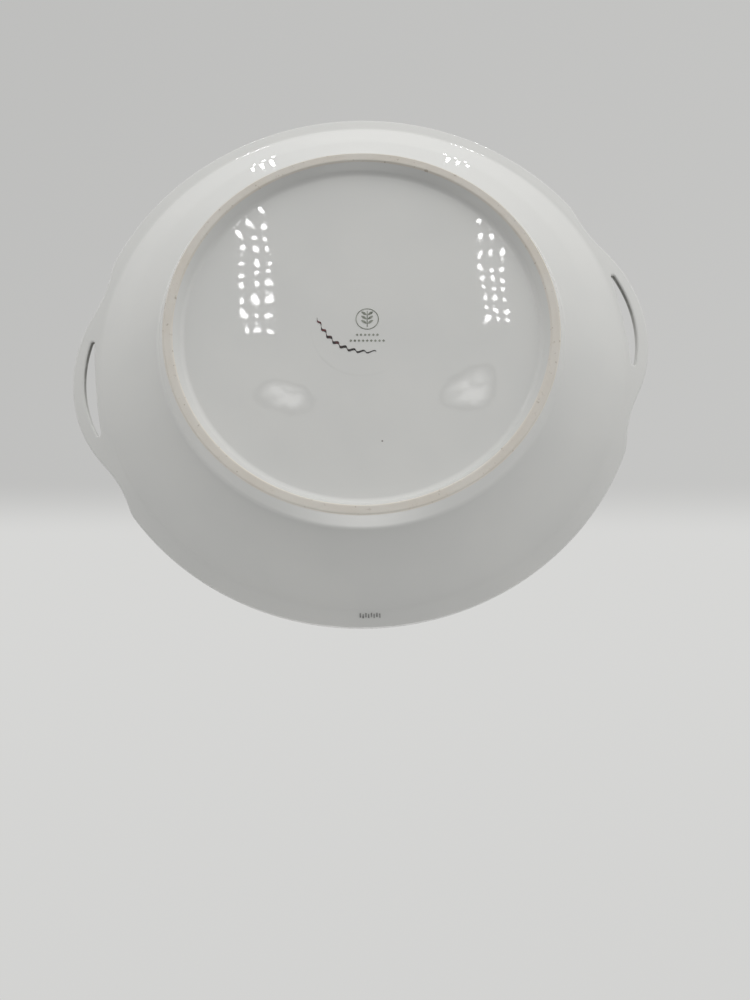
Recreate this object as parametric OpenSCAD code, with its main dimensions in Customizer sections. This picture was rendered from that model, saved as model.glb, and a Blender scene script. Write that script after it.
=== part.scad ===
// Two-handled porcelain serving bowl, standing on its foot ring.
// Millimetres, +Z up. The origin is the centre of the foot's ground plane,
// and the two handles lie along X.

/* [Overall] */
// Radius of the round rim
rim_r = 125; // [100:1:155]
// Height of the lip's upper face at the rim, before its edge is rounded
rim_h = 33.5; // [27:0.5:45]

/* [Foot ring] */
// Outer radius of the ring's bearing face
foot_r = 84.2; // [65:0.1:102]
// Width of the bearing face
foot_land_w = 3.6; // [2.4:0.1:6]
// Height at which the outer flank runs into the wall
foot_h = 7.6; // [5.5:0.1:10]
// How far the outer flank leans outwards over that height
foot_flare = 3.6; // [1:0.1:6]
// How far the inner flank leans inwards up to the well
foot_lean = 3.2; // [1:0.1:6]
// Height of the unglazed band at the bearing face
land_t = 0.8; // [0.4:0.1:1.5]
// Height of the seam between the foot ring and the body
foot_seam_z = 3.6; // [2.2:0.1:4.4]

/* [Well and wall] */
// Depth of the recess inside the foot ring
recess = 5.6; // [5:0.1:8]
// Thickness of the flat well
well_t = 4.2; // [3:0.1:6]
// Thickness of the sloping wall
wall_t = 3.6; // [2.5:0.1:5]
// How far the wall bellies out below a straight line
wall_belly = 0.7; // [0:0.1:2]

/* [Lip] */
// Radial width of the flatter lip at the rim
lip_w = 7; // [4:0.5:10]
// Rise of the lip over that width
lip_rise = 2.2; // [1:0.1:4]
// Upright thickness of the lip
lip_t = 3; // [2.4:0.1:4]

/* [Handles] */
// How far a handle stands out beyond the round rim
handle_out = 6.5; // [4:0.1:9]
// Distance from a handle's middle to the point where its outline meets the rim
handle_half_l = 60.6; // [52:0.1:70]
// Radius of the handle's outward bulge
bulge_r = 63; // [50:1:75]
// Radius of the hollow curve between the bulge and the rim
ogee_r = 53; // [45:1:62]
// Width of the strip between the handle's outer edge and the finger slot
strip_w = 5.7; // [5:0.1:6.5]
// Length of the finger slot, measured straight across
slot_l = 46; // [36:0.5:50]
// Radius of the slot's flatter inner side
slot_inner_r = 400; // [120:10:600]
// Radius of the slot's two ends
slot_end_r = 1; // [0.6:0.1:1.4]
// Distance from the round rim in to the seam between handle and body
handle_seam_in = 9; // [7.5:0.1:12]

/* [Printed and painted marks] */
// Thickness of the marks on the glaze
mark_t = 0.15; // [0.1:0.05:0.3]
// Radius of the printed ring
wreath_r = 5; // [3:0.1:6]
// Length of the brushed flourish from end to end
flourish_l = 30; // [20:1:36]
// Distance from the round rim in to the small mark under the lip
rim_mark_in = 5; // [4:0.5:12]

/* [Hidden] */

$fn = 96;
glaze_white = [0.93, 0.93, 0.92];
bisque = [0.86, 0.80, 0.72];
stamp_green = [0.38, 0.42, 0.34];
brush_black = [0.12, 0.07, 0.08];
mark_grey = [0.45, 0.45, 0.45];

arc_steps = 8;             // straight steps in each rounded corner
above = 60;                // height that clears the whole bowl
wide = 2 * rim_r;          // plan size that clears the whole bowl
well_fillet = 3;           // corner between the well and the ring's inner flank
land_round = 0.9;          // both corners of the bearing face
crease_fillet = 5;         // corner between the ring's outer flank and the wall
belly_round = 55;          // blend across the belly of the wall
lip_blend = 8;             // blend from the wall into the lip
floor_blend = 16;          // blend from the well into the wall, inside
round_share = 0.9;         // share of the rim's edge that is rounded

lip_r = rim_r - lip_w;
lip_slope = lip_rise / lip_w;
rim_round = round_share * lip_t / 2 * cos(atan(lip_slope));
handle_tip_r = rim_r + handle_out;
seam_r = rim_r - handle_seam_in;
slot_cut_h = 4 * lip_t;    // height that cuts right through the lip
slot_arc_fn = 360;         // facets of the slot's long, nearly straight side
slot_reach = 12;           // how far the slot's window reaches past its ends

// ---- Plane geometry -------------------------------------------------------

function unit(v) = v / norm(v);
function left_of(v) = [-v[1], v[0]];
function polar(r, a) = [r * cos(a), r * sin(a)];

// Where the line through a and b meets the line through c and d
function line_meet(a, b, c, d) =
    let (u = b - a, v = d - c, w = c - a,
         k = (w[0] * v[1] - w[1] * v[0]) / (u[0] * v[1] - u[1] * v[0]))
    a + k * u;

// Corner b of the path a-b-c, after each side has moved left by its own distance
function moved_corner(a, b, c, t_in, t_out) =
    let (n_in = left_of(unit(b - a)) * t_in, n_out = left_of(unit(c - b)) * t_out)
    line_meet(a + n_in, b + n_in, b + n_out, c + n_out);

// The points that round corner b of the path a-b-c with radius r
function rounded_corner(a, b, c, r) =
    let (u = unit(a - b), v = unit(c - b),
         half = acos(u * v) / 2,
         centre = b + unit(u + v) * r / sin(half),
         first = b + u * r / tan(half) - centre,
         last = b + v * r / tan(half) - centre,
         from = atan2(first[1], first[0]),
         sweep = atan2(last[1], last[0]) - from,
         turn = sweep > 180 ? sweep - 360 : sweep < -180 ? sweep + 360 : sweep)
    [for (i = [0 : arc_steps]) centre + polar(r, from + turn * i / arc_steps)];

// A closed outline from rows of [corner, radius]; radius 0 keeps the corner sharp
function rounded_outline(rows) =
    let (n = len(rows))
    [for (i = [0 : n - 1])
        let (before = rows[(i + n - 1) % n][0], here = rows[i][0], after = rows[(i + 1) % n][0])
        each rows[i][1] > 0 ? rounded_corner(before, here, after, rows[i][1]) : [here]];

// ---- Section of the bowl --------------------------------------------------

foot_top = [foot_r + foot_flare, foot_h];
lip_start = [lip_r, rim_h - lip_t - lip_rise];
belly = (foot_top + lip_start) / 2 - left_of(unit(lip_start - foot_top)) * wall_belly;
lip_top = [lip_r, rim_h - lip_rise];

// Inside corners: the wall and the well moved up by their thickness
inner_belly = moved_corner(foot_top, belly, lip_start, wall_t, wall_t);
wall_low = inner_belly + (foot_top - belly);
inner_floor = line_meet(wall_low, inner_belly, [0, recess + well_t], [1, recess + well_t]);
inner_up = inner_belly + (lip_start - belly);
inner_lip = line_meet(inner_belly, inner_up, lip_top, lip_top + [1, lip_slope]);

// The whole section out to radius reach, its outer edge rounded by edge_round
function section(reach, edge_round) =
    let (rise = (reach - rim_r) * lip_slope)
    rounded_outline([
        [[0, recess], 0],
        [[foot_r - foot_land_w - foot_lean, recess], well_fillet],
        [[foot_r - foot_land_w, 0], land_round],
        [[foot_r, 0], land_round],
        [foot_top, crease_fillet],
        [belly, belly_round],
        [lip_start, lip_blend],
        [[reach, rim_h - lip_t + rise], edge_round],
        [[reach, rim_h + rise], edge_round],
        [inner_lip, lip_blend],
        [inner_belly, belly_round],
        [inner_floor, floor_blend],
        [[0, recess + well_t], 0]]);

// The part of the section between two heights, turned round the axis
module turned(reach, edge_round, low, high) {
    rotate_extrude()
        intersection() {
            polygon(section(reach, edge_round));
            translate([0, low])
                square([wide, high - low]);
        }
}

// ---- Plan of one handle, on the +X side -----------------------------------

cusp = [sqrt(rim_r * rim_r - handle_half_l * handle_half_l), handle_half_l];
bulge_centre = [handle_tip_r - bulge_r, 0];

// The hollow circle touches the bulge from outside and passes through the cusp
cusp_gap = norm(cusp - bulge_centre);
ogee_along = ((bulge_r + ogee_r) ^ 2 - ogee_r ^ 2 + cusp_gap ^ 2) / (2 * cusp_gap);
ogee_aside = sqrt((bulge_r + ogee_r) ^ 2 - ogee_along ^ 2);
cusp_way = (cusp - bulge_centre) / cusp_gap;
ogee_centre = bulge_centre + cusp_way * ogee_along - left_of(cusp_way) * ogee_aside;
ogee_touch = bulge_centre + (ogee_centre - bulge_centre) * bulge_r / (bulge_r + ogee_r);

module mirrored_y() {
    children();
    mirror([0, 1])
        children();
}

module handle_plan() {
    difference() {
        polygon([[0, 0], [cusp[0], -cusp[1]], [ogee_touch[0], -ogee_touch[1]], ogee_touch, cusp]);
        mirrored_y()
            translate(ogee_centre)
                circle(ogee_r);
    }
    intersection() {
        translate(bulge_centre)
            circle(bulge_r);
        translate([ogee_touch[0], -wide / 2])
            square(wide);
    }
}

// The slot is a crescent: its outer side runs round with the bulge, and a small
// circle at each end touches that side and the flatter inner one
slot_outer_r = bulge_r - strip_w;
slot_end_y = slot_l / 2 - slot_end_r;
slot_end = bulge_centre + [sqrt((slot_outer_r - slot_end_r) ^ 2 - slot_end_y ^ 2), slot_end_y];
inner_centre = [slot_end[0] - sqrt((slot_inner_r + slot_end_r) ^ 2 - slot_end_y ^ 2), 0];
slot_mid_x = (bulge_centre[0] + slot_outer_r + inner_centre[0] + slot_inner_r) / 2;
slot_mid_z = rim_h - lip_t / 2 + (slot_mid_x - rim_r) * lip_slope;

module slot_plan() {
    inward = unit(inner_centre - slot_end) * slot_reach;
    outward = unit(slot_end - bulge_centre) * slot_reach;
    lower_end = [slot_end[0], -slot_end[1]];
    difference() {
        intersection() {
            translate(bulge_centre)
                circle(slot_outer_r);
            polygon([slot_end + inward, slot_end, slot_end + outward,
                     lower_end + [outward[0], -outward[1]], lower_end,
                     lower_end + [inward[0], -inward[1]]]);
        }
        translate(inner_centre)
            circle(slot_inner_r, $fn = slot_arc_fn);
    }
    for (side = [-1, 1])
        translate([slot_end[0], side * slot_end[1]])
            circle(slot_end_r);
}

// The slot goes through square to the sloping lip
module slot_cut() {
    translate([slot_mid_x, 0, slot_mid_z])
        rotate([0, -atan(lip_slope), 0])
            translate([-slot_mid_x, 0, -slot_cut_h / 2])
                linear_extrude(slot_cut_h)
                    slot_plan();
}

// Everything that a handle takes from the round rim
module handle_zone() {
    linear_extrude(above)
        difference() {
            polygon([[0, 0], cusp * 1.2, [wide, 0], [cusp[0], -cusp[1]] * 1.2]);
            circle(seam_r);
        }
}

module handle() {
    difference() {
        intersection() {
            turned(handle_tip_r + 1, 0, foot_seam_z, above);
            linear_extrude(above)
                handle_plan();
        }
        cylinder(h = above, r = seam_r);
        slot_cut();
    }
}

// ---- Marks ----------------------------------------------------------------

// A pointed leaf of the given length along X, centred
module leaf(length) {
    arc_r = length * 0.75;
    sink = sqrt(arc_r ^ 2 - (length / 2) ^ 2);
    intersection() {
        translate([0, sink])
            circle(arc_r);
        translate([0, -sink])
            circle(arc_r);
    }
}

// A flat mark on the underside of the well, centred at the given place
module under_well(place, turn) {
    translate([place[0], place[1], recess - mark_t])
        rotate(turn)
            linear_extrude(mark_t)
                children();
}

stamp_place = [3, -4.4];
stamp_turn = 8;
stamp_line_w = 0.35;
sprig_rows = [-0.4, 0, 0.4] * wreath_r;
sprig_leaf = 0.56 * wreath_r;
lozenge_rows = [[6, 1.5 * wreath_r], [9, 2.05 * wreath_r]];
lozenge_pitch = 1.75;
lozenge_size = 0.85;

module stamp_plan() {
    difference() {
        circle(wreath_r);
        circle(wreath_r - stamp_line_w);
    }
    square([stamp_line_w, 1.5 * wreath_r], center = true);
    for (y = sprig_rows, side = [-1, 1])
        translate([side * sprig_leaf / 2, y - sprig_leaf / 4])
            rotate(-side * 35)
                leaf(sprig_leaf);
    for (row = lozenge_rows, i = [0 : row[0] - 1])
        translate([(i - (row[0] - 1) / 2) * lozenge_pitch, row[1]])
            rotate(45)
                square(lozenge_size, center = true);
}

flourish_place = [-6.8, 1.6];
flourish_turn = 40;
flourish_steps = 72;
flourish_waves = 8;
flourish_sag = 5.8;
flourish_wave_h = 0.55;
flourish_thin = 0.12;
flourish_thick = 0.8;
flourish_swell = 1.5;      // higher values keep the thick strokes apart

// The brush line's middle and half width at t from 0 to 1
function brush_middle(t) =
    [(t - 0.5) * flourish_l,
     flourish_sag * (1 - (2 * t - 1) ^ 2) + flourish_wave_h * sin(360 * flourish_waves * t)];
function brush_half_w(t) =
    flourish_thin + (flourish_thick - flourish_thin)
        * abs(sin(180 * flourish_waves * t)) ^ flourish_swell * sqrt(sin(180 * t));

module flourish_plan() {
    polygon([
        for (i = [0 : flourish_steps])
            brush_middle(i / flourish_steps) + [0, brush_half_w(i / flourish_steps)],
        for (i = [flourish_steps : -1 : 0])
            brush_middle(i / flourish_steps) - [0, brush_half_w(i / flourish_steps)]]);
}

rim_mark_turn = 6.4;
rim_mark_dashes = 8;
rim_mark_pitch = 1.15;
rim_mark_stagger = 0.35;
rim_mark_size = [0.6, 1.7];

// A skin of the wall's underside, as thick as a mark
module wall_skin() {
    rotate_extrude()
        intersection() {
            difference() {
                translate([0, -mark_t])
                    polygon(section(rim_r - rim_round, 0));
                polygon(section(rim_r, 0));
            }
            translate([foot_top[0], foot_h])
                square([rim_r - rim_round - foot_top[0], above]);
        }
}

module rim_mark_plan() {
    rotate(rim_mark_turn)
        for (i = [0 : rim_mark_dashes - 1])
            translate([(i - (rim_mark_dashes - 1) / 2) * rim_mark_pitch,
                       rim_r - rim_mark_in + rim_mark_stagger * (i % 2 - 0.5)])
                square(rim_mark_size, center = true);
}

// ---- The sub-parts --------------------------------------------------------

// Well, wall and lip, thrown as one piece
module bowl_body() {
    color(glaze_white)
        difference() {
            turned(rim_r, rim_round, foot_seam_z, above);
            handle_zone();
            mirror([1, 0, 0])
                handle_zone();
        }
}

// Ring turned on the underside, between the body and its unglazed band
module foot_ring() {
    color(glaze_white)
        turned(rim_r, rim_round, land_t, foot_seam_z);
}

// Unglazed band that stands on the table
module foot_land() {
    color(bisque)
        turned(rim_r, rim_round, 0, land_t);
}

module right_handle() {
    color(glaze_white)
        handle();
}

module left_handle() {
    color(glaze_white)
        mirror([1, 0, 0])
            handle();
}

// Printed emblem: a plain ring with a leaf sprig over two plain bars
module backstamp() {
    color(stamp_green)
        under_well(stamp_place, stamp_turn)
            stamp_plan();
}

// Hand-painted brush line
module brushed_flourish() {
    color(brush_black)
        under_well(flourish_place, flourish_turn)
            flourish_plan();
}

// Row of small dashes on the wall, near the rim
module rim_mark() {
    color(mark_grey)
        intersection() {
            wall_skin();
            linear_extrude(above)
                rim_mark_plan();
        }
}

bowl_body();
foot_ring();
foot_land();
left_handle();
right_handle();
backstamp();
brushed_flourish();
rim_mark();
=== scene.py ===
"""Two-handled porcelain serving bowl: its looks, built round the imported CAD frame.

Metres, +Z up, the bowl standing on its foot ring. The camera looks up at the underside,
as the photograph does, so the studio around it is laid out along the picture's own axes.
"""

import math

import bpy
import numpy as np
from mathutils import Matrix, Vector


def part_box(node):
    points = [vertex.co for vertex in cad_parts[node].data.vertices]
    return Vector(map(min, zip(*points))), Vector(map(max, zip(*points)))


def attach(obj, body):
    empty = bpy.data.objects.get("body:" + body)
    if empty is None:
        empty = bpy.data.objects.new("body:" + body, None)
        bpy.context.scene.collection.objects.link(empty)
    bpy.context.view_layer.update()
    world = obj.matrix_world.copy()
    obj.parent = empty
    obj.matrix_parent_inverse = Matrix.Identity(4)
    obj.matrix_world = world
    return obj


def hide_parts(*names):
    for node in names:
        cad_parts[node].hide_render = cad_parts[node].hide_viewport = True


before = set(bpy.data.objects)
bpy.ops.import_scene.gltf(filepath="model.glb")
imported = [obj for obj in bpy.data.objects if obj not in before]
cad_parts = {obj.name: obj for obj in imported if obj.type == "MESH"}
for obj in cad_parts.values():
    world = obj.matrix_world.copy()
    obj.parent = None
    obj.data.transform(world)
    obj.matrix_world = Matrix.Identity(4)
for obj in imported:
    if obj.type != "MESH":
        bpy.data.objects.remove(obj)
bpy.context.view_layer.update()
MM = 0.001
BODY = "root"

# ---- Sizes taken from the frame ---------------------------------------------

RIM_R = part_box("bowl_body")[1].y
SEAM_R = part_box("bowl_body")[1].x
TIP_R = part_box("right_handle")[1].x
CUSP_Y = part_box("right_handle")[1].y
FOOT_SEAM_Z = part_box("bowl_body")[0].z
LAND_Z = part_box("foot_land")[1].z
CUSP_A = math.asin(CUSP_Y / RIM_R)

# ---- Sizes of the section, the same as the CAD model's -----------------------

RIM_H = 33.5 * MM
FOOT_R, FOOT_LAND_W, FOOT_H = 84.2 * MM, 3.6 * MM, 7.6 * MM
FOOT_FLARE, FOOT_LEAN = 3.6 * MM, 3.2 * MM
RECESS, WELL_T = 5.6 * MM, 4.2 * MM
WALL_T, WALL_BELLY = 3.6 * MM, 0.7 * MM
LIP_W, LIP_RISE, LIP_T = 7 * MM, 2.2 * MM, 3 * MM
WELL_FILLET, LAND_ROUND, CREASE_FILLET = 3 * MM, 0.9 * MM, 5 * MM
BELLY_ROUND, LIP_BLEND, FLOOR_BLEND = 55 * MM, 8 * MM, 16 * MM
LIP_SLOPE = LIP_RISE / LIP_W
RIM_ROUND = 0.9 * LIP_T / 2 * math.cos(math.atan(LIP_SLOPE))

# Handle outline and slot
BULGE_R, OGEE_R = 63 * MM, 53 * MM
STRIP_W, SLOT_L, SLOT_INNER_R, SLOT_END_R = 5.7 * MM, 46 * MM, 400 * MM, 1 * MM
SLOT_EDGE = 0.8 * MM
CUSP_SOFT = math.radians(0.8)
CUSP_SOFT_REACH = 3

# The slot is a crescent in plan, square to the sloping lip
BULGE_X = TIP_R - BULGE_R
SLOT_OUTER_R = BULGE_R - STRIP_W
SLOT_END_Y = SLOT_L / 2 - SLOT_END_R
SLOT_END_X = BULGE_X + math.sqrt((SLOT_OUTER_R - SLOT_END_R) ** 2 - SLOT_END_Y**2)
SLOT_INNER_X = SLOT_END_X - math.sqrt((SLOT_INNER_R + SLOT_END_R) ** 2 - SLOT_END_Y**2)
SLOT_MID_X = (BULGE_X + SLOT_OUTER_R + SLOT_INNER_X + SLOT_INNER_R) / 2
SLOT_MID_Z = RIM_H - LIP_T / 2 + (SLOT_MID_X - RIM_R) * LIP_SLOPE
SLOT_TILT = math.atan(LIP_SLOPE)
SLOT_A = math.atan2(SLOT_END_Y, SLOT_END_X)

# A disc that stands very slightly proud in the middle of the well's underside
DISC_R, DISC_STEP, DISC_RAISE, DISC_ROUND = 21.2 * MM, 0.9 * MM, 0.03 * MM, 6 * MM

# Mesh density
EAR_COLUMNS, RIM_COLUMNS, SLOT_ZONE_COLUMNS = 88, 184, 20
ARC_STEP = math.radians(9)
OUTLINE_POINTS = 7201
OUTLINE_SLOPE_STEP = math.radians(0.1)
LONG_STEP = 3 * MM
LIP_STEPS_UPPER, LIP_BLEND_STEPS = 12, 6
SLOT_RINGS, SLOT_EDGE_STEPS = 8, 5
WELD = 1e-9


# ---- Section of the bowl, as points with outward normals ---------------------


def unit(v):
    return v / np.linalg.norm(v)


def left_of(v):
    return np.array([-v[1], v[0]])


def line_meet(a, b, c, d):
    """Where the line through a and b meets the line through c and d."""
    u, v, w = b - a, d - c, c - a
    return a + u * (w[0] * v[1] - w[1] * v[0]) / (u[0] * v[1] - u[1] * v[0])


def section_rows():
    """The section's corners in order: name, place, rounding radius, and steps on the line after it."""
    pt = lambda r, z: np.array([r, z])
    foot_top = pt(FOOT_R + FOOT_FLARE, FOOT_H)
    lip_start = pt(RIM_R - LIP_W, RIM_H - LIP_T - LIP_RISE)
    belly = (foot_top + lip_start) / 2 - left_of(unit(lip_start - foot_top)) * WALL_BELLY
    into_low, into_up = left_of(unit(belly - foot_top)), left_of(unit(lip_start - belly))
    low, up = foot_top + into_low * WALL_T, lip_start + into_up * WALL_T
    inner_belly = line_meet(low, low + belly - foot_top, up, up + lip_start - belly)
    floor = pt(0, RECESS + WELL_T)
    inner_floor = line_meet(low, inner_belly, floor, floor + pt(1, 0))
    lip_top = pt(RIM_R - LIP_W, RIM_H - LIP_RISE)
    inner_lip = line_meet(inner_belly, up, lip_top, lip_top + pt(1, LIP_SLOPE))
    return [
        ("axis_low", pt(0, RECESS - DISC_RAISE), 0, None),
        ("disc", pt(DISC_R, RECESS - DISC_RAISE), DISC_ROUND, 1),
        ("disc_foot", pt(DISC_R + DISC_STEP, RECESS), DISC_ROUND, None),
        ("well_edge", pt(FOOT_R - FOOT_LAND_W - FOOT_LEAN, RECESS), WELL_FILLET, 2),
        ("land_in", pt(FOOT_R - FOOT_LAND_W, 0), LAND_ROUND, 2),
        ("land_out", pt(FOOT_R, 0), LAND_ROUND, 2),
        ("foot_top", foot_top, CREASE_FILLET, None),
        ("belly", belly, BELLY_ROUND, None),
        ("lip_start", lip_start, LIP_BLEND, LIP_STEPS_UPPER - 1 - LIP_BLEND_STEPS),
        ("edge_low", pt(RIM_R, RIM_H - LIP_T), RIM_ROUND, 1),
        ("edge_up", pt(RIM_R, RIM_H), RIM_ROUND, LIP_STEPS_UPPER),
        ("inner_lip", inner_lip, LIP_BLEND, None),
        ("inner_belly", inner_belly, BELLY_ROUND, None),
        ("inner_floor", inner_floor, FLOOR_BLEND, None),
        ("axis_up", floor, 0, None),
    ]


def rounded(before, here, after, radius, steps):
    """Points and outward normals of the arc that rounds a corner."""
    u, v = unit(here - before), unit(after - here)
    turn = math.atan2(u[0] * v[1] - u[1] * v[0], u.dot(v))
    start = here - u * radius * math.tan(abs(turn) / 2)
    steps = steps or max(3, math.ceil(abs(turn) / ARC_STEP))
    first = math.atan2(u[1], u[0])
    signed = math.copysign(radius, turn)
    made = []
    for i in range(steps + 1):
        a = first + turn * i / steps
        move = signed * np.array([math.sin(a) - math.sin(first), math.cos(first) - math.cos(a)])
        made.append((start + move, np.array([math.sin(a), -math.cos(a)])))
    return made


def traced_section():
    """The whole section as rows of (point, normal, name of the corner or of the line after it)."""
    rows = section_rows()
    path = [(rows[0][1], np.array([0.0, -1.0]), rows[0][0])]
    for i in range(1, len(rows) - 1):
        name, corner, radius, _ = rows[i]
        steps = LIP_BLEND_STEPS if name == "lip_start" else None
        arc = rounded(rows[i - 1][1], corner, rows[i + 1][1], radius, steps)
        path += line_points(path[-1], arc[0][0], rows[i - 1])
        path += [(p, n, name) for p, n in arc]
    path += line_points(path[-1], rows[-1][1], rows[-2])
    path.append((rows[-1][1], np.array([0.0, 1.0]), rows[-1][0]))
    return path


def line_points(last, end, row):
    """The points inside the straight line from the last point to end."""
    name, _, _, count = row
    start, normal, _ = last
    count = count or max(1, math.ceil(np.linalg.norm(end - start) / LONG_STEP))
    return [(start + (end - start) * i / count, normal, name + "_line") for i in range(1, count)]


def with_cuts(path, axis, value):
    """Adds a point wherever the section crosses the value on that axis."""
    made = [path[0]]
    for before, here in zip(path, path[1:]):
        a, b = before[0][axis] - value, here[0][axis] - value
        if a * b < 0 and min(abs(a), abs(b)) > WELD:
            t = a / (a - b)
            point = before[0] * (1 - t) + here[0] * t
            point[axis] = value
            made.append((point, unit(before[1] * (1 - t) + here[1] * t), here[2] + "_cut"))
        made.append(here)
    return made


def crossings(values, wanted):
    """The indices at which the value is the wanted one."""
    return [i for i, v in enumerate(values) if abs(v - wanted) < WELD]


PATH = traced_section()
for cut_axis, cut_value in ((1, FOOT_SEAM_Z), (1, LAND_Z), (0, SEAM_R)):
    PATH = with_cuts(PATH, cut_axis, cut_value)
Q_R = np.array([p[0] for p, _, _ in PATH])
Q_Z = np.array([p[1] for p, _, _ in PATH])
N_R = np.array([n[0] for _, n, _ in PATH])
N_Z = np.array([n[1] for _, n, _ in PATH])
TAGS = [t for _, _, t in PATH]

SEAM_LOW, SEAM_UP = crossings(Q_R, SEAM_R)
FOOT_IN, FOOT_OUT = crossings(Q_Z, FOOT_SEAM_Z)
LAND_IN, LAND_OUT = crossings(Q_Z, LAND_Z)
EDGE = [i for i, t in enumerate(TAGS) if t.startswith("edge_") and "up_line" not in t]
EDGE_LOW, EDGE_UP = EDGE[0], EDGE[-1]
LIP_LOW = max(i for i, t in enumerate(TAGS) if t == "lip_start")
LAST = len(PATH) - 1


# ---- Plan outline -------------------------------------------------------------


def handle_circles():
    """The bulge's centre, and the centre of the hollow circle between it and the cusp."""
    cusp = np.array([math.sqrt(RIM_R**2 - CUSP_Y**2), CUSP_Y])
    bulge = np.array([TIP_R - BULGE_R, 0])
    gap = np.linalg.norm(cusp - bulge)
    along = ((BULGE_R + OGEE_R) ** 2 - OGEE_R**2 + gap**2) / (2 * gap)
    aside = math.sqrt((BULGE_R + OGEE_R) ** 2 - along**2)
    way = (cusp - bulge) / gap
    ogee = bulge + way * along - left_of(way) * aside
    touch = bulge + (ogee - bulge) * BULGE_R / (BULGE_R + OGEE_R)
    return bulge, ogee, math.atan2(touch[1], touch[0])


def outline_table():
    """Reach of the plan outline at fine steps of angle from the X axis, its corners softened."""
    bulge, ogee, touch_a = handle_circles()
    a = np.linspace(-math.pi / 2, math.pi / 2, OUTLINE_POINTS)
    away = np.abs(a)
    bulge_aside = (bulge[0] * np.sin(away)).clip(-BULGE_R, BULGE_R)
    on_bulge = bulge[0] * np.cos(away) + np.sqrt(BULGE_R**2 - bulge_aside**2)
    far, turn = np.linalg.norm(ogee), away - math.atan2(ogee[1], ogee[0])
    on_ogee = far * np.cos(turn) - np.sqrt((OGEE_R**2 - (far * np.sin(turn)) ** 2).clip(0))
    reach = np.where(away < touch_a, on_bulge, np.where(away < CUSP_A, on_ogee, RIM_R))
    step = a[1] - a[0]
    half = int(CUSP_SOFT_REACH * CUSP_SOFT / step)
    weights = np.exp(-0.5 * (np.arange(-half, half + 1) * step / CUSP_SOFT) ** 2)
    padded = np.pad(reach, half, mode="edge")
    return a, np.convolve(padded, weights / weights.sum(), mode="valid")


OUTLINE_A, OUTLINE_R = outline_table()


def reach_at(angles):
    """How far the outline reaches at angles measured round the whole bowl."""
    wrapped = (np.asarray(angles) + math.pi / 2) % math.pi - math.pi / 2
    return np.interp(wrapped, OUTLINE_A, OUTLINE_R)


def outward_at(angles):
    """The outline's outward direction in plan."""
    step = OUTLINE_SLOPE_STEP
    slope = (reach_at(angles + step) - reach_at(angles - step)) / (2 * step)
    reach = reach_at(angles)
    x = reach * np.cos(angles) + slope * np.sin(angles)
    y = reach * np.sin(angles) - slope * np.cos(angles)
    return np.stack([x, y]) / np.hypot(x, y)


# ---- The surface as a grid of section rows and columns round the axis ---------


def turned(r, z, n_r, n_z, angles):
    """Points and normals of section values turned to the angles."""
    c, s = np.cos(angles), np.sin(angles)
    points = np.stack([r * c, r * s, z + 0 * c], -1)
    return points, np.stack([n_r * c, n_r * s, n_z + 0 * c], -1)


def edge_ring(i, angles):
    """One row of the rounded edge: it follows the outline, and stays on the lip's two faces."""
    reach, out = reach_at(angles), outward_at(angles)
    x = reach * np.cos(angles) + (Q_R[i] - RIM_R) * out[0]
    y = reach * np.sin(angles) + (Q_R[i] - RIM_R) * out[1]
    z = Q_Z[i] + LIP_SLOPE * (np.hypot(x, y) - Q_R[i])
    face = unit(np.array([LIP_SLOPE, -1.0])) * (1 if N_Z[i] < 0 else -1)
    share = N_Z[i] / face[1]
    outer = N_R[i] - share * face[0]
    radial = np.stack([x, y]) / np.hypot(x, y)
    n = np.stack([*(share * face[0] * radial + outer * out), N_Z[i] + 0 * x], -1)
    return np.stack([x, y, z], -1), n / np.linalg.norm(n, axis=-1, keepdims=True)


def lip_ring(i, fixed, edge, angles):
    """One row between a fixed row and the rounded edge."""
    end, _ = edge_ring(edge, angles)
    end_r, end_a = np.hypot(end[:, 0], end[:, 1]), np.arctan2(end[:, 1], end[:, 0])
    share = (Q_R[i] - Q_R[fixed]) / (Q_R[edge] - Q_R[fixed])
    r = Q_R[fixed] + share * (end_r - Q_R[fixed])
    turn = (end_a - angles + math.pi) % (2 * math.pi) - math.pi
    return turned(r, Q_Z[i] + LIP_SLOPE * (r - Q_R[i]), N_R[i], N_Z[i], angles + share * turn)


def surface_row(i, angles):
    """Points and normals of one section row, right round the bowl."""
    if EDGE_LOW <= i <= EDGE_UP:
        return edge_ring(i, angles)
    if LIP_LOW < i < EDGE_LOW:
        return lip_ring(i, LIP_LOW, EDGE_LOW, angles)
    if EDGE_UP < i < SEAM_UP:
        return lip_ring(i, SEAM_UP, EDGE_UP, angles)
    return turned(Q_R[i], Q_Z[i], N_R[i], N_Z[i], angles)


def column_angles():
    """Columns from one cusp right round to the same cusp, and the index of each cusp."""
    ear = np.linspace(-CUSP_A, CUSP_A, EAR_COLUMNS + 1)
    rim = np.linspace(CUSP_A, math.pi - CUSP_A, RIM_COLUMNS + 1)
    parts = [ear[:-1], rim[:-1], ear[:-1] + math.pi, rim + math.pi]
    marks = np.cumsum([0, EAR_COLUMNS, RIM_COLUMNS, EAR_COLUMNS, RIM_COLUMNS])
    return np.concatenate(parts), marks


ANGLES, CUSPS = column_angles()
GRID = [surface_row(i, ANGLES) for i in range(len(PATH))]
POINTS = np.stack([p for p, _ in GRID])
NORMALS = np.stack([n for _, n in GRID])
RADIAL = np.stack([np.cos(ANGLES), np.sin(ANGLES), 0 * ANGLES], -1)
DOWN, UP = np.array([0, 0, -1.0]), np.array([0, 0, 1.0])


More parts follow.
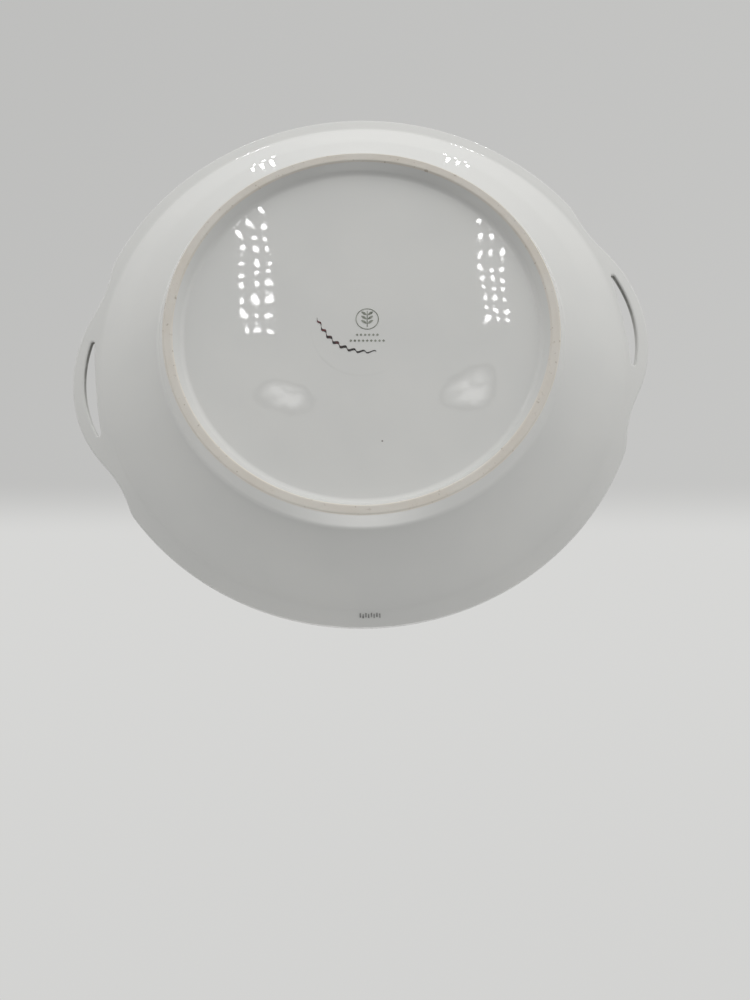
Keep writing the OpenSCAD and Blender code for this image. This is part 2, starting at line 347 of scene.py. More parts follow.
class Shell:
    """Patches of points with normals, made into one closed smooth mesh."""

    def __init__(self):
        self.points, self.normals, self.faces, self.size = [], [], [], 0

    def add(self, points, normals):
        points = np.asarray(points, float).reshape(-1, 3)
        self.points.append(points)
        self.normals.append(np.broadcast_to(normals, points.shape).reshape(-1, 3))
        self.size += len(points)
        return self.size - len(points)

    def grid(self, points, normals):
        rows, columns = points.shape[:2]
        first = self.add(points, np.broadcast_to(normals, points.shape).reshape(-1, 3))
        ids = first + np.arange(rows * columns).reshape(rows, columns)
        quads = np.stack([ids[:-1, :-1], ids[1:, :-1], ids[1:, 1:], ids[:-1, 1:]], -1)
        self.faces += quads.reshape(-1, 4).tolist()

    def strip(self, low, high, normals):
        self.grid(np.stack([low, high]), normals)

    def cap(self, outline, normal):
        first = self.add(outline, normal)
        self.faces.append(list(range(first, self.size)))

    def build(self, name, material):
        points, normals = np.concatenate(self.points), np.concatenate(self.normals)
        keys = np.round(points / WELD).astype(np.int64)
        _, first, welded = np.unique(keys, axis=0, return_index=True, return_inverse=True)
        welded = welded.reshape(-1)
        faces, loop_normals = [], []
        for corners in self.faces:
            at = points[corners]
            facing = np.cross(at, np.roll(at, -1, axis=0)).sum(0)
            if facing.dot(normals[corners].sum(0)) < 0:
                corners = corners[::-1]
            shifted = corners[-1:] + corners[:-1]
            kept = [c for c, before in zip(corners, shifted) if welded[c] != welded[before]]
            if len(kept) > 2:
                faces.append(welded[kept].tolist())
                loop_normals.extend(normals[kept].tolist())
        mesh = bpy.data.meshes.new(name)
        mesh.from_pydata(points[first].tolist(), [], faces)
        mesh.polygons.foreach_set("use_smooth", [True] * len(mesh.polygons))
        mesh.normals_split_custom_set(loop_normals)
        mesh.materials.append(material)
        made = bpy.data.objects.new(name, mesh)
        bpy.context.scene.collection.objects.link(made)
        return made


def body_shell():
    """Well, wall and lip, cut off at the handles' seams and at the foot ring's."""
    shell = Shell()
    for low, high in ((0, FOOT_IN), (FOOT_OUT, SEAM_LOW), (SEAM_UP, LAST)):
        shell.grid(POINTS[low : high + 1], NORMALS[low : high + 1])
    shell.strip(POINTS[FOOT_IN], POINTS[FOOT_OUT], DOWN)
    for k in (1, 3):
        a, b = CUSPS[k], CUSPS[k + 1] + 1
        shell.grid(POINTS[SEAM_LOW : SEAM_UP + 1, a:b], NORMALS[SEAM_LOW : SEAM_UP + 1, a:b])
    for k in (0, 2):
        a, b = CUSPS[k], CUSPS[k + 1] + 1
        shell.strip(POINTS[SEAM_LOW, a:b], POINTS[SEAM_UP, a:b], np.stack([RADIAL[a:b]] * 2))
    for k, side in ((0, 1), (1, -1), (2, 1), (3, -1)):
        at = CUSPS[k]
        shell.cap(POINTS[SEAM_LOW : SEAM_UP + 1, at], side * np.cross(UP, RADIAL[at]))
    return shell


def ring_shell():
    """The foot ring between its unglazed band and the body."""
    shell = Shell()
    shell.grid(POINTS[FOOT_IN : LAND_IN + 1], NORMALS[FOOT_IN : LAND_IN + 1])
    shell.grid(POINTS[LAND_OUT : FOOT_OUT + 1], NORMALS[LAND_OUT : FOOT_OUT + 1])
    shell.strip(POINTS[FOOT_IN], POINTS[FOOT_OUT], UP)
    shell.strip(POINTS[LAND_IN], POINTS[LAND_OUT], DOWN)
    return shell


def land_shell():
    """The unglazed band that the bowl stands on."""
    shell = Shell()
    shell.grid(POINTS[LAND_IN : LAND_OUT + 1], NORMALS[LAND_IN : LAND_OUT + 1])
    shell.strip(POINTS[LAND_IN], POINTS[LAND_OUT], UP)
    return shell


# ---- Handles --------------------------------------------------------------------


def face_rows(lower):
    """The section rows of a handle's lower or upper face, from the seam to the rounded edge."""
    return list(range(SEAM_LOW, EDGE_LOW + 1)) if lower else list(range(SEAM_UP, EDGE_UP - 1, -1))


def on_face(lower, r, angles):
    """Points and normals of the lower or upper face at any radius between the seam and the edge."""
    rows = face_rows(lower)
    far = 10 * MM
    r_at = np.append(Q_R[rows], Q_R[rows[-1]] + far)
    z_at = np.append(Q_Z[rows], Q_Z[rows[-1]] + far * LIP_SLOPE)
    n_r = np.interp(r, r_at, np.append(N_R[rows], N_R[rows[-1] + (-1 if lower else 1)]))
    n_r = np.where(r > Q_R[rows[-1]], N_R[rows[-1]], n_r)
    n_z = np.sqrt(1 - n_r**2) * (-1 if lower else 1)
    return turned(r, np.interp(r, r_at, z_at), n_r, n_z, angles)


def round_side(centre_x, radius, angle):
    """The point at that angle from the bowl's axis on a circle centred on the X axis."""
    reach = centre_x * math.cos(angle) + math.sqrt(radius**2 - (centre_x * math.sin(angle)) ** 2)
    return np.array([reach * math.cos(angle), reach * math.sin(angle)])


def slot_runs(middle, first, last):
    """Grid places round the slot: columns in line with it, then the runs past its +Y and -Y ends."""
    columns = np.arange(first, last + 1)
    inside = [k for k in columns if abs(ANGLES[k] - middle) <= SLOT_A]
    after, before = [k for k in columns if k > inside[-1]], [k for k in columns if k < inside[0]]
    steps = len(face_rows(True)) - 1
    upper_run = [(0, k) for k in after] + [(i, last) for i in range(1, steps)]
    upper_run += [(steps, k) for k in after[::-1]]
    lower_run = [(steps, k) for k in before[::-1]] + [(i, first) for i in range(steps - 1, 0, -1)]
    lower_run += [(0, k) for k in before]
    return inside, upper_run, lower_run, steps


def slot_loop(middle, first, last):
    """The slot's edge in plan, as on the +X side: points, outward directions, and places to fan to.

    A place is (step from the seam, column). All three lists run the same way round the slot.
    """
    inside, upper_run, lower_run, steps = slot_runs(middle, first, last)
    inner_centre, bulge_centre = np.array([SLOT_INNER_X, 0]), np.array([BULGE_X, 0])
    end = np.array([SLOT_END_X, SLOT_END_Y])
    to_inner, to_outer = inner_centre - end, end - bulge_centre
    a_inner = math.atan2(to_inner[1], to_inner[0]) % (2 * math.pi)
    a_outer = math.atan2(to_outer[1], to_outer[0])
    places, plan, out = [], [], []
    for k in inside:
        places.append((0, k))
        plan.append(round_side(SLOT_INNER_X, SLOT_INNER_R, ANGLES[k] - middle))
        out.append(unit(inner_centre - plan[-1]))
    for side, run in ((1, upper_run), (-1, lower_run)):
        for j, place in enumerate(run):
            t = (j + 1) / (len(run) + 1)
            a = a_inner + (a_outer - a_inner) * (t if side > 0 else 1 - t)
            way = np.array([math.cos(a), side * math.sin(a)])
            places.append(place)
            plan.append(end * (1, side) + way * SLOT_END_R)
            out.append(way)
        if side > 0:
            for k in inside[::-1]:
                places.append((steps, k))
                plan.append(round_side(BULGE_X, SLOT_OUTER_R, ANGLES[k] - middle))
                out.append(unit(plan[-1] - bulge_centre))
    return np.array(plan), np.array(out), places


def slot_on_face(lower, plan):
    """Where the slot's leaning wall meets one face, in plan, for a slot on the +X side."""
    aside, lean = plan[:, 0] - SLOT_MID_X, np.zeros(len(plan))
    face_z = RIM_H - (LIP_T if lower else 0)
    for _ in range(4):
        x = SLOT_MID_X + aside * math.cos(SLOT_TILT) - lean * math.sin(SLOT_TILT)
        z = face_z + (np.hypot(x, plan[:, 1]) - RIM_R) * LIP_SLOPE
        lean = (z - SLOT_MID_Z - aside * math.sin(SLOT_TILT)) / math.cos(SLOT_TILT)
    return np.stack([x, plan[:, 1]], -1)


def swung(points, angle):
    """Points or directions turned about the bowl's axis."""
    c, s = math.cos(angle), math.sin(angle)
    x, y = points[..., 0], points[..., 1]
    return np.stack([x * c - y * s, x * s + y * c, points[..., 2]], -1)


def closed(rows):
    """The rows with their first column repeated at the end."""
    return np.concatenate([rows, rows[:, :1]], axis=1)


def fan(shell, lower, plan, out, places, middle):
    """One face from the slot's rounded edge to the grid around it, and that edge.

    Returns the edge's last ring, where the slot's wall starts.
    """
    rows = face_rows(lower)
    target = np.array([POINTS[rows[i], k] for i, k in places])
    target_n = np.array([NORMALS[rows[i], k] for i, k in places])
    turn = lambda p: (np.arctan2(p[:, 1], p[:, 0]) - middle + math.pi) % (2 * math.pi) - math.pi
    level = np.stack([slot_on_face(lower, plan)[:, 0], plan[:, 1], 0 * plan[:, 0]], -1)
    mouth = swung(level, middle)
    start = mouth + out * SLOT_EDGE
    r0, a0 = np.hypot(start[:, 0], start[:, 1]), turn(start)
    r1, a1 = np.hypot(target[:, 0], target[:, 1]), turn(target)
    rings, ring_normals = [], []
    for i in range(SLOT_RINGS):
        t = i / SLOT_RINGS
        points, normals = on_face(lower, r0 + (r1 - r0) * t, middle + a0 + (a1 - a0) * t)
        rings.append(points)
        ring_normals.append(normals)
    shell.grid(closed(np.stack(rings + [target])), closed(np.stack(ring_normals + [target_n])))
    inwards = swung(np.array([-math.sin(SLOT_TILT), 0, math.cos(SLOT_TILT)]), middle) * (1 if lower else -1)
    edge, edge_normals = [], []
    for i in range(SLOT_EDGE_STEPS + 1):
        a = math.pi / 2 * i / SLOT_EDGE_STEPS
        at = mouth + out * SLOT_EDGE * (1 - math.sin(a))
        points, normals = on_face(lower, np.hypot(at[:, 0], at[:, 1]), np.arctan2(at[:, 1], at[:, 0]))
        mixed = normals * math.cos(a) - out * math.sin(a)
        edge.append(points + inwards * SLOT_EDGE * (1 - math.cos(a)))
        edge_normals.append(mixed / np.linalg.norm(mixed, axis=1, keepdims=True))
    shell.grid(closed(np.stack(edge)), closed(np.stack(edge_normals)))
    return edge[-1]


def handle_shell(cusp):
    """One handle, from its seam with the body to its rounded edge, with its finger slot."""
    shell = Shell()
    a, b = CUSPS[cusp], CUSPS[cusp + 1]
    centre = (a + b) // 2
    middle = ANGLES[centre]
    first, last = centre - SLOT_ZONE_COLUMNS, centre + SLOT_ZONE_COLUMNS
    for low, high in ((SEAM_LOW, EDGE_LOW), (EDGE_UP, SEAM_UP)):
        for c, d in ((a, first), (last, b)):
            shell.grid(POINTS[low : high + 1, c : d + 1], NORMALS[low : high + 1, c : d + 1])
    shell.grid(POINTS[EDGE_LOW : EDGE_UP + 1, a : b + 1], NORMALS[EDGE_LOW : EDGE_UP + 1, a : b + 1])
    shell.strip(POINTS[SEAM_LOW, a : b + 1], POINTS[SEAM_UP, a : b + 1], np.stack([-RADIAL[a : b + 1]] * 2))
    for at, side in ((a, -1), (b, 1)):
        shell.cap(POINTS[SEAM_LOW : SEAM_UP + 1, at], side * np.cross(UP, RADIAL[at]))
    plan, out, places = slot_loop(middle, first, last)
    leaning = np.stack([out[:, 0] * math.cos(SLOT_TILT), out[:, 1], out[:, 0] * math.sin(SLOT_TILT)], -1)
    out = swung(leaning, middle)
    lower = fan(shell, True, plan, out, places, middle)
    upper = fan(shell, False, plan, out, places, middle)
    wall = np.stack([lower, upper])
    shell.grid(closed(wall), closed(np.stack([-out, -out])))
    return shell


# ---- Materials --------------------------------------------------------------------


class Nodes:
    """Short calls to make and join the nodes of one tree."""

    def __init__(self, tree):
        self.tree = tree
        tree.nodes.clear()

    def new(self, kind, **inputs):
        node = self.tree.nodes.new(kind)
        for name, value in inputs.items():
            self.set(node, name.replace("_", " "), value)
        return node

    def set(self, node, name, value):
        socket = node.inputs[int(name)] if name.isdigit() else node.inputs[name]
        if isinstance(value, bpy.types.NodeSocket):
            self.tree.links.new(value, socket)
        else:
            socket.default_value = value

    def math(self, operation, a, b=0.0, c=0.0, clamp=False):
        node = self.tree.nodes.new("ShaderNodeMath")
        node.operation, node.use_clamp = operation, clamp
        for i, value in enumerate((a, b, c)):
            self.set(node, str(i), value)
        return node.outputs[0]

    def vector(self, operation, a, b=(0, 0, 0)):
        node = self.tree.nodes.new("ShaderNodeVectorMath")
        node.operation = operation
        self.set(node, "0", a)
        self.set(node, "1", b)
        return node.outputs["Value" if operation in ("DOT_PRODUCT", "LENGTH", "DISTANCE") else "Vector"]

    def ramp(self, value, low, high, to_low=0.0, to_high=1.0):
        node = self.tree.nodes.new("ShaderNodeMapRange")
        node.interpolation_type = "SMOOTHSTEP"
        for i, v in enumerate((value, low, high, to_low, to_high)):
            self.set(node, str(i), v)
        return node.outputs[0]

    def mix(self, share, a, b):
        node = self.tree.nodes.new("ShaderNodeMix")
        node.data_type = "RGBA"
        self.set(node, "0", share)
        self.set(node, "6", a)
        self.set(node, "7", b)
        return node.outputs[2]

    def noise(self, coords, scale, detail=2.0, rough=0.5):
        node = self.new("ShaderNodeTexNoise", Vector=coords, Scale=scale, Detail=detail, Roughness=rough)
        return node.outputs[0]


def material(name):
    """A new material with its nodes, its shader and the object's own coordinates."""
    made = bpy.data.materials.new(name)
    made.use_nodes = True
    nodes = Nodes(made.node_tree)
    shader = nodes.new("ShaderNodeBsdfPrincipled")
    nodes.new("ShaderNodeOutputMaterial", Surface=shader.outputs[0])
    coords = nodes.new("ShaderNodeTexCoord").outputs["Object"]
    return made, nodes, shader, coords


# Unevenness of the glaze: broad warping, waves and fine grain, each with its noise scale
WARP_HEIGHT, WAVE_HEIGHT, FINE_HEIGHT = 0.45 * MM, 0.06 * MM, 0.0003 * MM
WARP_SCALE, WAVE_SCALE, FINE_SCALE = 24, 75, 500
# The warping is full on the well, and fades out across the foot ring
WARP_FULL_R, WARP_FADED_R, WARP_LEFT = 76 * MM, 88 * MM, 0.15

# A dark pinhole in the glaze of the well
PINHOLE_AT, PINHOLE_R = (1.4 * MM, 51.8 * MM, RECESS), 0.5 * MM
GLAZE_LIGHT, GLAZE_DARK = (0.80, 0.80, 0.785, 1), (0.775, 0.777, 0.765, 1)
# The second colour and the second share are painted shade for the finger slots' walls
PINHOLE_COLOUR, SLOT_SHADE_COLOUR = (0.16, 0.14, 0.12, 1), (0.09, 0.09, 0.075, 1)
PINHOLE_SHARE, SLOT_SHADE_SHARE = 0.8, 0.85

# Fine specks: one in ten cells of a random pattern holds one
SPECK_SCALE, SPECK_RARITY, SPECK_FULL_R, SPECK_R = 70, 0.9, 0.012, 0.022

# Painted shade on the finger slots' walls: heavy at the first Y below, faint at the second
SLOT_SHADE_FULL_Y, SLOT_SHADE_FAINT_Y, SLOT_SHADE_HALF_W = -14 * MM, 20 * MM, 4.4 * MM


def slot_grime(nodes, coords):
    """How strongly painted shade darkens a place: only the finger slots' walls, most at their -Y ends."""
    apart = nodes.new("ShaderNodeSeparateXYZ", Vector=coords)
    x, y, z = nodes.math("ABSOLUTE", apart.outputs[0]), apart.outputs[1], apart.outputs[2]
    flat = nodes.vector("LENGTH", nodes.vector("MULTIPLY", coords, (1, 1, 0)))
    level = nodes.math("MULTIPLY_ADD", nodes.math("SUBTRACT", flat, SLOT_MID_X), LIP_SLOPE, SLOT_MID_Z)
    depth = nodes.math("ABSOLUTE", nodes.math("SUBTRACT", z, level))
    inside = nodes.ramp(depth, LIP_T / 2 - 1.0 * MM, LIP_T / 2 - 0.2 * MM, 1, 0)
    along = nodes.ramp(y, SLOT_SHADE_FULL_Y, SLOT_SHADE_FAINT_Y, 1.0, 0.25)
    reach = nodes.math("LESS_THAN", nodes.math("ABSOLUTE", y), SLOT_L / 2 + MM)
    aside = nodes.math("ABSOLUTE", nodes.math("SUBTRACT", x, SLOT_MID_X))
    near = nodes.math("LESS_THAN", aside, SLOT_SHADE_HALF_W)
    on_slot = nodes.math("MULTIPLY", reach, near)
    share = nodes.math("MULTIPLY", nodes.math("MULTIPLY", inside, along), on_slot)
    patchy = nodes.ramp(nodes.noise(coords, 260, 3), 0.2, 0.5, 0.7, 1.0)
    return nodes.math("MULTIPLY", share, patchy)


def glaze_holes(nodes, coords):
    """Where the glaze is pitted: the pinhole, and fine specks at random."""
    apart = nodes.vector("DISTANCE", coords, PINHOLE_AT)
    pinhole = nodes.ramp(apart, PINHOLE_R / 2, PINHOLE_R, 1, 0)
    cells = nodes.new("ShaderNodeTexVoronoi", Vector=coords, Scale=SPECK_SCALE)
    pick = nodes.new("ShaderNodeSeparateColor", Color=cells.outputs["Color"]).outputs[0]
    rare = nodes.math("GREATER_THAN", pick, SPECK_RARITY)
    dots = nodes.ramp(cells.outputs["Distance"], SPECK_FULL_R, SPECK_R, 1, 0)
    return nodes.math("ADD", pinhole, nodes.math("MULTIPLY", dots, rare), clamp=True)


def glaze_relief(nodes, coords):
    """The glaze's uneven surface, as a normal."""
    from_axis = nodes.vector("LENGTH", nodes.vector("MULTIPLY", coords, (1, 1, 0)))
    uneven = nodes.ramp(from_axis, WARP_FULL_R, WARP_FADED_R, 1.0, WARP_LEFT)
    waves = nodes.math("MULTIPLY", nodes.noise(coords, WAVE_SCALE, 1), WAVE_HEIGHT)
    warp = nodes.math("MULTIPLY_ADD", nodes.noise(coords, WARP_SCALE, 0), WARP_HEIGHT, waves)
    fine = nodes.math("MULTIPLY", nodes.noise(coords, FINE_SCALE, 2), FINE_HEIGHT)
    height = nodes.math("MULTIPLY_ADD", warp, uneven, fine)
    return nodes.new("ShaderNodeBump", Height=height, Strength=1.0, Distance=1.0).outputs[0]


def glazed_porcelain():
    """Clear glossy glaze over cool white porcelain, slightly uneven, with a pinhole, specks and painted
    shade in the finger slots.
    """
    made, nodes, shader, coords = material("glazed_porcelain")
    cloud = nodes.ramp(nodes.noise(coords, 22, 3), 0.35, 0.65)
    colour = nodes.mix(cloud, GLAZE_DARK, GLAZE_LIGHT)
    # Painted shade darkens the finger slots' walls
    grime_and_shade = nodes.math("MULTIPLY", slot_grime(nodes, coords), SLOT_SHADE_SHARE)
    colour = nodes.mix(grime_and_shade, colour, SLOT_SHADE_COLOUR)
    pits = nodes.math("MULTIPLY", glaze_holes(nodes, coords), PINHOLE_SHARE)
    nodes.set(shader, "Base Color", nodes.mix(pits, colour, PINHOLE_COLOUR))
    relief = glaze_relief(nodes, coords)
    nodes.set(shader, "Normal", relief)
    nodes.set(shader, "Coat Normal", relief)
    nodes.set(shader, "Roughness", nodes.ramp(nodes.noise(coords, 60, 2), 0.3, 0.7, 0.5, 0.6))
    shader.inputs["Specular IOR Level"].default_value = 0.0
    shader.inputs["Coat Weight"].default_value = 1.0
    shader.inputs["Coat Roughness"].default_value = 0.03
    return made


BISQUE_WORN, BISQUE_CLEAN = (0.78, 0.73, 0.66, 1), (0.81, 0.775, 0.72, 1)
BISQUE_GRIME = (0.33, 0.26, 0.19, 1)


def unglazed_bisque():
    """Matt unglazed band, warm from wear, with dark specks."""
    made, nodes, shader, coords = material("unglazed_bisque")
    tint = nodes.ramp(nodes.noise(coords, 45, 4), 0.35, 0.65)
    colour = nodes.mix(tint, BISQUE_WORN, BISQUE_CLEAN)
    grime_and_shade = nodes.ramp(nodes.noise(coords, 420, 5, 0.65), 0.60, 0.70)
    colour = nodes.mix(nodes.math("MULTIPLY", grime_and_shade, 0.55), colour, BISQUE_GRIME)
    nodes.set(shader, "Base Color", colour)
    nodes.set(shader, "Roughness", nodes.ramp(tint, 0, 1, 0.7, 0.85))
    grain = nodes.noise(coords, 1500, 3)
    bump = nodes.new("ShaderNodeBump", Height=grain, Strength=0.5, Distance=0.05 * MM)
    nodes.set(shader, "Normal", bump.outputs[0])
    return made


# Printed colours, where the print is thin and where it is full
STAMP_INK = (0.33, 0.35, 0.30, 1), (0.13, 0.145, 0.11, 1)
RIM_INK = (0.56, 0.56, 0.55, 1), (0.17, 0.17, 0.17, 1)
ENAMEL_DARK, ENAMEL_RED = (0.010, 0.007, 0.007, 1), (0.16, 0.022, 0.025, 1)


def ink(name, thin, full, scale, gloss):
    """Colour printed on the glaze, uneven in strength."""
    made, nodes, shader, coords = material(name)
    patch = nodes.ramp(nodes.noise(coords, scale, 3), 0.3, 0.7)
    nodes.set(shader, "Base Color", nodes.mix(patch, thin, full))
    nodes.set(shader, "Roughness", nodes.ramp(patch, 0, 1, gloss, gloss + 0.15))
    shader.inputs["Coat Weight"].default_value = 0.6
    shader.inputs["Coat Roughness"].default_value = 0.1
    return made


def brush_enamel():
    """Near-black enamel that bleeds to dark red along its left half."""
    made, nodes, shader, coords = material("brush_enamel")
    split = nodes.new("ShaderNodeSeparateXYZ", Vector=coords)
    left = nodes.ramp(split.outputs[0], -18 * MM, -4 * MM, 1, 0)
    bleed = nodes.math("MULTIPLY", left, nodes.ramp(nodes.noise(coords, 900, 2), 0.50, 0.64))
    nodes.set(shader, "Base Color", nodes.mix(bleed, ENAMEL_DARK, ENAMEL_RED))
    nodes.set(shader, "Roughness", nodes.ramp(nodes.noise(coords, 500, 2), 0.3, 0.7, 0.25, 0.45))
    return made


# ---- The picture's own axes, in the row frame -----------------------------------------

TILT, ROLL, SPIN = math.radians(16.79), math.radians(-0.16), math.radians(8.3)
CAMERA_AWAY, CAMERA_ASIDE, CAMERA_LOW = 424.0 * MM, -5.7 * MM, 75.0 * MM
LENS_MM, SENSOR_MM = 36.0, 36.0


def to_row(x, y, z):
    """The row's direction for (picture right, picture up, away), seen square to the foot plane."""
    c, s = math.cos(SPIN), math.sin(SPIN)
    return Vector((x * c + y * s, x * s - y * c, z))


PIC_RIGHT = to_row(math.cos(ROLL), -math.sin(ROLL) * math.cos(TILT), math.sin(ROLL) * math.sin(TILT))
PIC_UP = to_row(math.sin(ROLL), math.cos(ROLL) * math.cos(TILT), -math.cos(ROLL) * math.sin(TILT))
PIC_FORWARD = to_row(0, math.sin(TILT), math.cos(TILT))


def in_picture(right, up, forward):
    """A place measured from the foot's centre along the picture's axes."""
    return PIC_RIGHT * right + PIC_UP * up + PIC_FORWARD * forward


def make_camera():
    """The camera at the photograph's place and viewing angle."""
    data = bpy.data.cameras.new("camera")
    data.lens, data.sensor_width, data.sensor_fit = LENS_MM, SENSOR_MM, "AUTO"
    data.clip_start, data.clip_end = 0.01, 50
    camera = bpy.data.objects.new("camera", data)
    bpy.context.scene.collection.objects.link(camera)
    place = in_picture(-CAMERA_ASIDE, -CAMERA_LOW, -CAMERA_AWAY)
    turn = Matrix((PIC_RIGHT, PIC_UP, -PIC_FORWARD)).transposed()
    camera.matrix_world = Matrix.Translation(place) @ turn.to_4x4()
    bpy.context.scene.camera = camera


# ---- Studio -------------------------------------------------------------------------


LAMP_HEIGHT = 0.30
LED_SIDES, LED_STRENGTH = 14, 28.0


class LedRun:
    """Rows of three small lamps along both strips.

    Start is the first row's distance away from the camera, pitch the step between rows, gap the
    step between the lamps of a row, and disc a lamp's width and depth. Aside is the middle lamp's
    distance from the centre at the first row, and splay is how much that grows along the run.
    Both are for the left strip, then for the right one.
    """

    def __init__(self, rows, start, pitch, gap, disc, aside, splay):
        self.rows, self.start, self.pitch, self.gap = rows, start, pitch, gap
        self.disc, self.aside, self.splay = disc, aside, splay

    def centres(self, strip):
        """Each lamp's (distance aside, distance away from the camera)."""
        for row in range(self.rows):
            along = row * self.pitch
            for column in (-1, 0, 1):
                yield self.aside[strip] + self.splay[strip] * along + column * self.gap, self.start + along


# The run that the well reflects, and the run that the wall's top reflects
WELL_RUN = LedRun(
    rows=10,
    start=-0.309,
    pitch=0.0138,
    gap=0.0105,
    disc=(0.0042, 0.0060),
    aside=(0.0955, 0.1080),
    splay=(-0.045, -0.10),
)
WALL_RUN = LedRun(
    rows=3,
    start=0.118,
    pitch=0.0300,
    gap=0.0128,
    disc=(0.0044, 0.0065),
    aside=(0.1270, 0.1145),
    splay=(-0.11, -0.14),
)


def glowing(name):
    """A material that only gives light, with its nodes and the one that sets how much."""
    made = bpy.data.materials.new(name)
    made.use_nodes = True
    nodes = Nodes(made.node_tree)
    glow = nodes.new("ShaderNodeEmission")
    nodes.new("ShaderNodeOutputMaterial", Surface=glow.outputs[0])
    return made, nodes, glow


def only_reflected(lamp):
    """Puts a lamp's mesh object in the scene, where nothing but reflections shows it."""
    bpy.context.scene.collection.objects.link(lamp)
    lamp.visible_camera = lamp.visible_diffuse = lamp.visible_shadow = False
    return lamp


def lamp_strips():
    """Two strips of small round lamps over the bowl, running away from the camera."""
    points, faces = [], []
    turns = [2 * math.pi * i / LED_SIDES for i in range(LED_SIDES)]
    for strip, side in enumerate((-1, 1)):
        for run in (WELL_RUN, WALL_RUN):
            half_w, half_d = run.disc[0] / 2, run.disc[1] / 2
            for aside, forward in run.centres(strip):
                centre = in_picture(side * aside, LAMP_HEIGHT, forward)
                faces.append(list(range(len(points), len(points) + LED_SIDES)))
                for a in turns:
                    way = PIC_RIGHT * (half_w * math.cos(a)) + PIC_FORWARD * (half_d * math.sin(a))
                    points.append(centre + way)
    mesh = bpy.data.meshes.new("lamp_strips")
    mesh.from_pydata(points, [], faces)
    made, nodes, glow = glowing("lamp_glow")
    nodes.set(glow, "Strength", LED_STRENGTH)
    mesh.materials.append(made)
    return only_reflected(bpy.data.objects.new("lamp_strips", mesh))


# Broad soft lights of the tent: direction along (picture right, up, away), sharpness, strength.
# The last two are a softbox at the upper right, and the pale table's bounce from below
SOFT_LIGHTS = [
    ((0, 1, 0), 1, 1.10),
    ((0, -1, 0), 1, 0.22),
    ((1, 0, 0), 2, 0.52),
    ((-1, 0, 0), 2, 0.58),
    ((0, 0, 1), 2, 0.25),
    ((0.6, 0.6, -0.5), 6, 0.53),
    ((0, -1, 0), 12, 2.6),
]

# Two faint soft panels over the front of the bowl: aside, forward, and half sizes of each
PANELS = [(-0.077, -0.408, 0.032, 0.036), (0.098, -0.396, 0.028, 0.042)]
PANEL_SIDES, PANEL_STRENGTH = 32, 3.6


def panel_strength(nodes):
    """Bright in the middle, soft at the edge, with faint folds."""
    coords = nodes.new("ShaderNodeTexCoord").outputs["Object"]
    soft = nodes.ramp(nodes.vector("LENGTH", coords), 0.35, 1.0, 1, 0)
    folds = nodes.ramp(nodes.noise(coords, 1.6, 2), 0.35, 0.6, 0.35, 1.0)
    return nodes.math("MULTIPLY", nodes.math("MULTIPLY", soft, folds), PANEL_STRENGTH)


def soft_panels():
    """Faint soft-edged panels that share one round mesh."""
    turns = [2 * math.pi * i / PANEL_SIDES for i in range(PANEL_SIDES)]
    mesh = bpy.data.meshes.new("soft_panel")
    mesh.from_pydata([(math.cos(a), math.sin(a), 0) for a in turns], [], [list(range(PANEL_SIDES))])
    made, nodes, glow = glowing("panel_glow")
    nodes.set(glow, "Strength", panel_strength(nodes))
    mesh.materials.append(made)
    panels = []
    for i, (aside, forward, half_w, half_d) in enumerate(PANELS):
        panel = bpy.data.objects.new(f"soft_panel_{i}", mesh)
        turn = Matrix((PIC_RIGHT * half_w, PIC_FORWARD * half_d, PIC_UP)).transposed()
        place = Matrix.Translation(in_picture(aside, LAMP_HEIGHT, forward))
        panel.matrix_world = place @ turn.to_4x4()
        panels.append(only_reflected(panel))
    return panels


# What the camera sees of the tent: tones from low to high, and the levels that they lie between
WALL_TONES, WALL_LEVELS, WALL_TO_RIGHT = (0.545, 0.535), (0.0, 0.42), 0.05
FLOOR_TONES, FLOOR_LEVELS = (0.65, 0.68), (-0.5, -0.02)
TURN_LEVELS = (-0.035, 0.02)


def make_world():
    """A pale light tent: what the camera sees of it, and how brightly each direction lights."""
    world = bpy.data.worlds.new("tent")
    bpy.context.scene.world = world
    world.use_nodes = True
    nodes = Nodes(world.node_tree)
    way = nodes.new("ShaderNodeTexCoord").outputs["Generated"]
    up = nodes.vector("DOT_PRODUCT", way, tuple(PIC_UP))
    right = nodes.vector("DOT_PRODUCT", way, tuple(PIC_RIGHT))
    # Backdrop: back wall above, floor below, with a soft turn between them
    height_tone = nodes.ramp(up, *WALL_LEVELS, *WALL_TONES)
    wall = nodes.math("MULTIPLY_ADD", right, WALL_TO_RIGHT, height_tone)
    floor = nodes.ramp(up, *FLOOR_LEVELS, *FLOOR_TONES)
    below = nodes.ramp(up, *TURN_LEVELS, 1, 0)
    seen = nodes.math("ADD", nodes.math("MULTIPLY", below, nodes.math("SUBTRACT", floor, wall)), wall)
    light = 0.0
    for axis, sharpness, strength in SOFT_LIGHTS:
        toward = in_picture(*axis).normalized()
        facing = nodes.math("MAXIMUM", nodes.vector("DOT_PRODUCT", way, tuple(toward)), 0.0)
        light = nodes.math("MULTIPLY_ADD", nodes.math("POWER", facing, sharpness), strength, light)
    camera_ray = nodes.new("ShaderNodeLightPath").outputs["Is Camera Ray"]
    more = nodes.math("SUBTRACT", seen, light)
    strength = nodes.math("ADD", nodes.math("MULTIPLY", camera_ray, more), light)
    shine = nodes.new("ShaderNodeBackground", Color=(1, 1, 0.985, 1), Strength=strength)
    nodes.new("ShaderNodeOutputWorld", Surface=shine.outputs[0])


FLOOR_R, FLOOR_FADE = 3.0, 1.2
FLOOR_DARK, FLOOR_LIGHT = (0.74, 0.74, 0.73, 1), (0.78, 0.78, 0.77, 1)


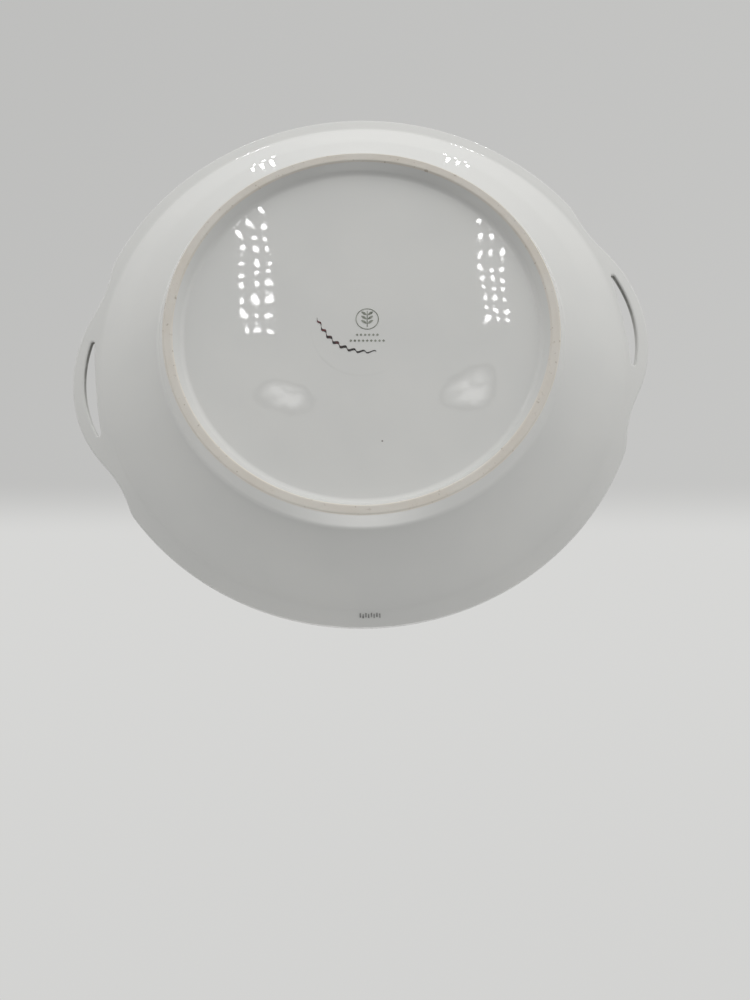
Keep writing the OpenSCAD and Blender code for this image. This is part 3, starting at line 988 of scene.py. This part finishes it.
def make_floor():
    """Pale floor that shows from above only, and fades into the backdrop."""
    bpy.ops.mesh.primitive_circle_add(vertices=96, radius=FLOOR_R, fill_type="NGON")
    floor = bpy.context.object
    floor.name = "floor"
    made = bpy.data.materials.new("pale_floor")
    made.use_nodes = True
    nodes = Nodes(made.node_tree)
    coords = nodes.new("ShaderNodeTexCoord").outputs["Object"]
    tone = nodes.mix(nodes.noise(coords, 3, 2), FLOOR_DARK, FLOOR_LIGHT)
    matt = nodes.new("ShaderNodeBsdfDiffuse", Color=tone)
    clear = nodes.new("ShaderNodeBsdfTransparent")
    faded = nodes.ramp(nodes.vector("LENGTH", coords), FLOOR_FADE, FLOOR_R, 0, 1)
    under = nodes.new("ShaderNodeNewGeometry").outputs["Backfacing"]
    hidden = nodes.math("MAXIMUM", faded, under)
    joined = nodes.tree.nodes.new("ShaderNodeMixShader")
    nodes.set(joined, "0", hidden)
    nodes.set(joined, "1", matt.outputs[0])
    nodes.set(joined, "2", clear.outputs[0])
    nodes.new("ShaderNodeOutputMaterial", Surface=joined.outputs[0])
    floor.data.materials.append(made)
    floor.visible_shadow = floor.visible_diffuse = floor.visible_glossy = False
    return floor


# ---- Assembly ------------------------------------------------------------------------


def place_piece(shell, name, finish, node):
    """Makes a piece that rides on the bowl's body and stands in for a CAD node."""
    piece = shell.build(name, finish)
    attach(piece, BODY)
    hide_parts(node)


def dress(node, finish):
    """Gives a CAD node that stays visible its material."""
    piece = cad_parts[node]
    piece.data.materials.clear()
    piece.data.materials.append(finish)


glaze, bisque = glazed_porcelain(), unglazed_bisque()
place_piece(body_shell(), "glazed_body", glaze, "bowl_body")
place_piece(ring_shell(), "glazed_foot", glaze, "foot_ring")
place_piece(land_shell(), "bare_land", bisque, "foot_land")
place_piece(handle_shell(0), "handle_right", glaze, "right_handle")
place_piece(handle_shell(2), "handle_left", glaze, "left_handle")
dress("backstamp", ink("stamp_ink", *STAMP_INK, 420, 0.35))
dress("rim_mark", ink("rim_ink", *RIM_INK, 700, 0.35))
dress("brushed_flourish", brush_enamel())

make_camera()
make_world()
floor = make_floor()
strips = lamp_strips()
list(soft_panels())
bpy.context.scene.view_settings.view_transform = "Standard"
